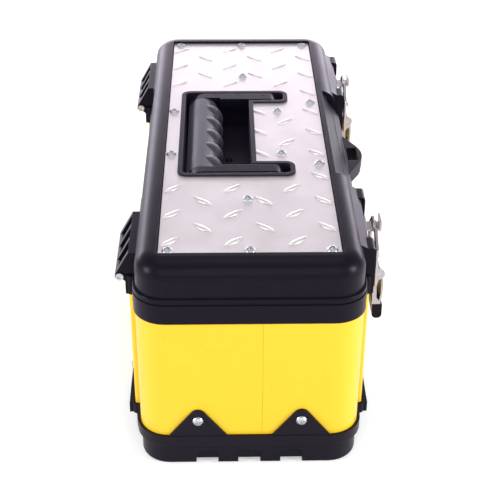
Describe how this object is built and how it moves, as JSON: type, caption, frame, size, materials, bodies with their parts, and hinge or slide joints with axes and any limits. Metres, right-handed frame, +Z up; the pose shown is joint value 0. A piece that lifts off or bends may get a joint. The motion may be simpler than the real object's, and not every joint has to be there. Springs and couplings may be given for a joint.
{
  "type": "hard tool case",
  "caption": "Hard tool case with a black plastic tray and lid, yellow steel walls, tread plate top, fold-down handle and draw latches.",
  "frame": {"origin": "middle of the underside of the tray, on the ground, midway between the ends and midway between the long walls", "axes": "+X along the case, +Y towards the hinges, -Y towards the latches, +Z up"},
  "size_m": [0.4182, 0.1948, 0.1743],
  "materials": {
    "tray_plastic": "fine grain, satin",
    "frame_plastic": "fine grain, satin",
    "lid_plastic": "fine grain, satin",
    "well_plastic": "satin",
    "handle_plastic": "satin",
    "tip_plastic": "satin",
    "grip_rubber": "soft",
    "yellow_steel": "smooth gloss",
    "tread_metal": "mill finish",
    "screw_steel": "bright plated",
    "pin_steel": "bright",
    "latch_metal": "bright plated"
  },
  "bodies": {
    "case": {"base_tray": "tray_plastic", "base_screws": "screw_steel", "steel_panel_front": "yellow_steel", "steel_panel_back": "yellow_steel", "upper_frame": "frame_plastic", "hinge_pin_left": "pin_steel", "hinge_pin_right": "pin_steel", "latch_base_left": "latch_metal", "latch_base_right": "latch_metal", "latch_rivets": "latch_metal", "lever_pin_left": "pin_steel", "lever_pin_right": "pin_steel"},
    "lid": {"lid_shell": "lid_plastic", "tread_plate": "tread_metal", "plate_screws": "screw_steel", "handle_well": "well_plastic", "well_screw": "well_plastic", "handle_pins": "pin_steel", "keeper_left": "latch_metal", "keeper_right": "latch_metal", "keeper_rivets": "latch_metal"},
    "handle": {"handle_frame": "handle_plastic", "grip_sleeve": "grip_rubber"},
    "lever_left": {"latch_lever_left": "latch_metal", "lever_tip_left": "tip_plastic"},
    "lever_right": {"latch_lever_right": "latch_metal", "lever_tip_right": "tip_plastic"},
    "bail_left": {"latch_bail_left": "latch_metal"},
    "bail_right": {"latch_bail_right": "latch_metal"}
  },
  "joints": [
    {"name": "lid_hinge", "type": "hinge", "parent": "case", "child": "lid", "pos_m": [0, 0.0916, 0.142], "axis": [-1, 0, 0], "range_deg": [0, 100]},
    {"name": "handle_fold", "type": "hinge", "parent": "lid", "child": "handle", "pos_m": [0, -0.0215, 0.1665], "axis": [1, 0, 0], "range_deg": [0, 90]},
    {"name": "lever_left_swing", "type": "hinge", "parent": "case", "child": "lever_left", "pos_m": [-0.1265, -0.0947, 0.128], "axis": [-1, 0, 0], "range_deg": [0, 150]},
    {"name": "bail_left_swing", "type": "hinge", "parent": "lever_left", "child": "bail_left", "pos_m": [-0.1265, -0.09263, 0.12027], "axis": [-1, 0, 0], "range_deg": [-126, 0]},
    {"name": "lever_right_swing", "type": "hinge", "parent": "case", "child": "lever_right", "pos_m": [0.1265, -0.0947, 0.128], "axis": [-1, 0, 0], "range_deg": [0, 150]},
    {"name": "bail_right_swing", "type": "hinge", "parent": "lever_right", "child": "bail_right", "pos_m": [0.1265, -0.09263, 0.12027], "axis": [-1, 0, 0], "range_deg": [-126, 0]}
  ],
  "couplings": [
    {"joint": "bail_left_swing", "follows": "lever_left_swing", "ratio": -0.84},
    {"joint": "bail_right_swing", "follows": "lever_right_swing", "ratio": -0.84}
  ]
}
